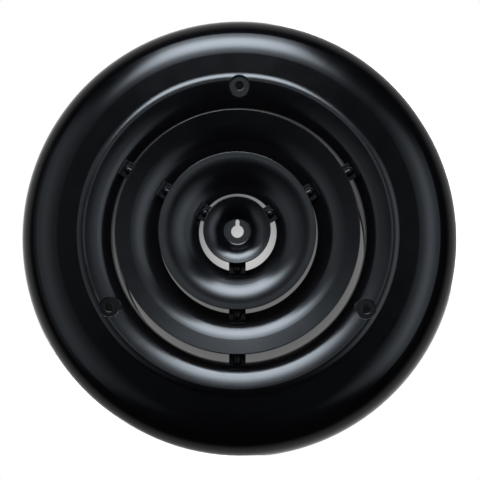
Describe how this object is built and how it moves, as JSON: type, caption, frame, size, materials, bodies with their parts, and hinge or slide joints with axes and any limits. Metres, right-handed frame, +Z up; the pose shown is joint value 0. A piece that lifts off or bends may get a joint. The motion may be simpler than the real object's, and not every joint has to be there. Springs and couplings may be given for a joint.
{
  "type": "ceiling air diffuser",
  "caption": "Round step-down ceiling air diffuser in black powder-coated sheet steel: a dished flange, nested flared cones on bent hangers, and a collar that a round duct slides over.",
  "frame": {"origin": "on the diffuser's axis, in the ceiling plane that the flange's rim rests on", "axes": "+Z up into the duct along the diffuser's axis; the face looks down, towards -Z; +Y towards the keyhole's slot and the first screw hole"},
  "size_m": [0.257, 0.257, 0.0651],
  "materials": {
    "powder_coat_flange": "satin black powder coat with a fine orange-peel texture, on pressed steel sheet",
    "powder_coat_cones": "satin black powder coat with a fine orange-peel texture, on spun steel sheet",
    "powder_coat_hangers": "satin black powder coat, on bent steel strap",
    "powder_coat_collar": "satin black powder coat, a little duller, on rolled steel sheet"
  },
  "bodies": {
    "root": {"flange_ring": "powder_coat_flange", "outer_cone": "powder_coat_cones", "neck_collar": "powder_coat_collar", "second_cone": "powder_coat_cones", "third_cone": "powder_coat_cones", "centre_cone": "powder_coat_cones", "outer_hanger_1": "powder_coat_hangers", "outer_hanger_2": "powder_coat_hangers", "outer_hanger_3": "powder_coat_hangers", "middle_hanger_1": "powder_coat_hangers", "middle_hanger_2": "powder_coat_hangers", "middle_hanger_3": "powder_coat_hangers", "inner_hanger_1": "powder_coat_hangers", "inner_hanger_2": "powder_coat_hangers", "inner_hanger_3": "powder_coat_hangers"}
  },
  "joints": []
}
